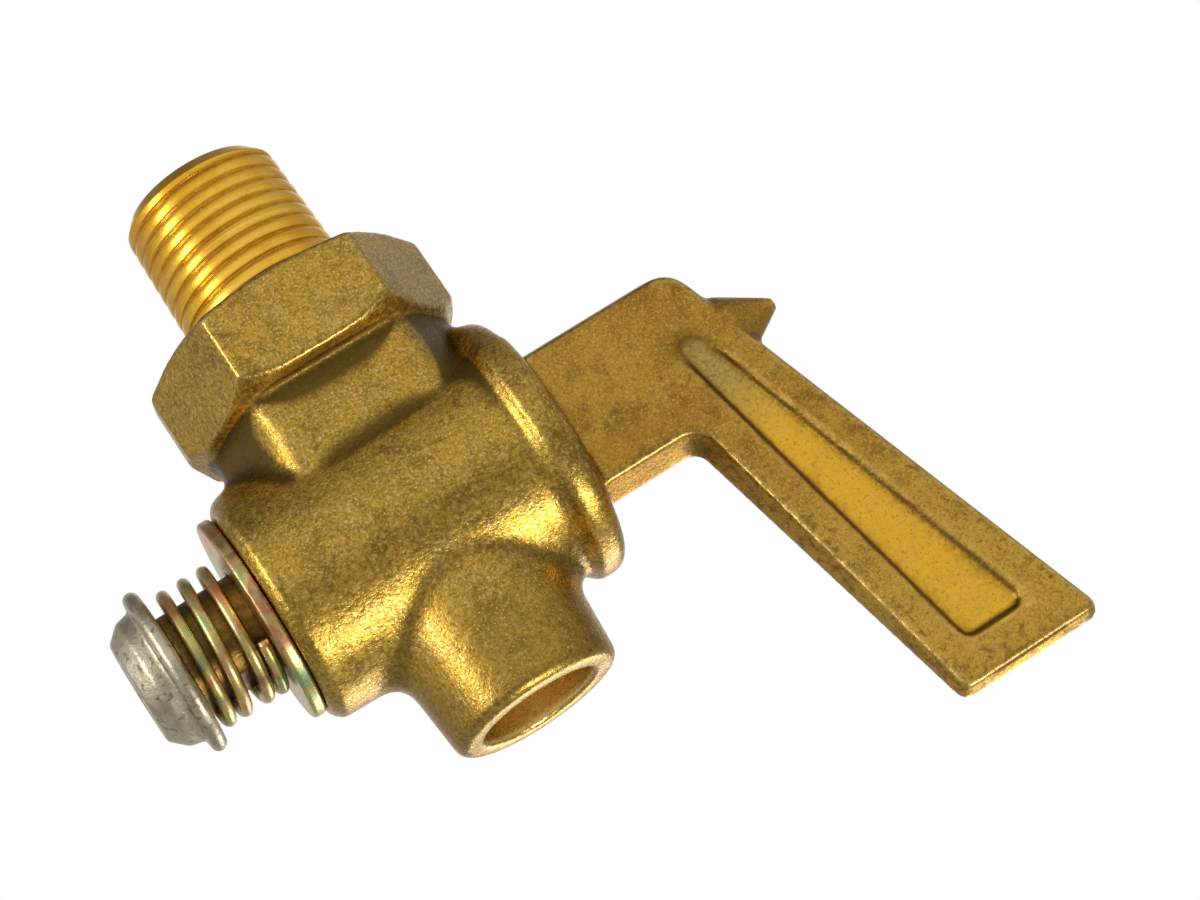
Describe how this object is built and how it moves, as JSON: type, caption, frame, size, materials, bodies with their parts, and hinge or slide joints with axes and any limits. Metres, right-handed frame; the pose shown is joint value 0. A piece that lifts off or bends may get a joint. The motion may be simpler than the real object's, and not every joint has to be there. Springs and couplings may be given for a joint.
{
  "type": "drain valve",
  "caption": "Small forged brass plug valve: taper pipe thread, hexagon, cross barrel with a spring-loaded ground plug, plain drain outlet and a flat lever that turns to open or shut it.",
  "frame": {"origin": "where the flow axis crosses the plug axis, in the middle of the plug's cross port", "axes": "+Z along the flow towards the threaded inlet, +X along the plug towards the lever, Y across the parting plane of the forgings"},
  "size_m": [0.0483, 0.0168, 0.0507],
  "materials": {
    "forged_brass": "forged and tumbled, fine grain",
    "lever_brass": "satin, as forged",
    "yellow_plated_steel": "iridescent yellow chromate on zinc",
    "zinc_plated_steel": "dull zinc plate"
  },
  "bodies": {
    "body": {"body": "forged_brass"},
    "plug": {"plug_lever": "lever_brass", "washer": "yellow_plated_steel", "spring": "yellow_plated_steel", "retaining_screw": "zinc_plated_steel"}
  },
  "joints": [
    {"name": "plug_turn", "type": "hinge", "parent": "body", "child": "plug", "pos_m": [0, 0, 0], "axis": [1, 0, 0], "continuous": true}
  ]
}
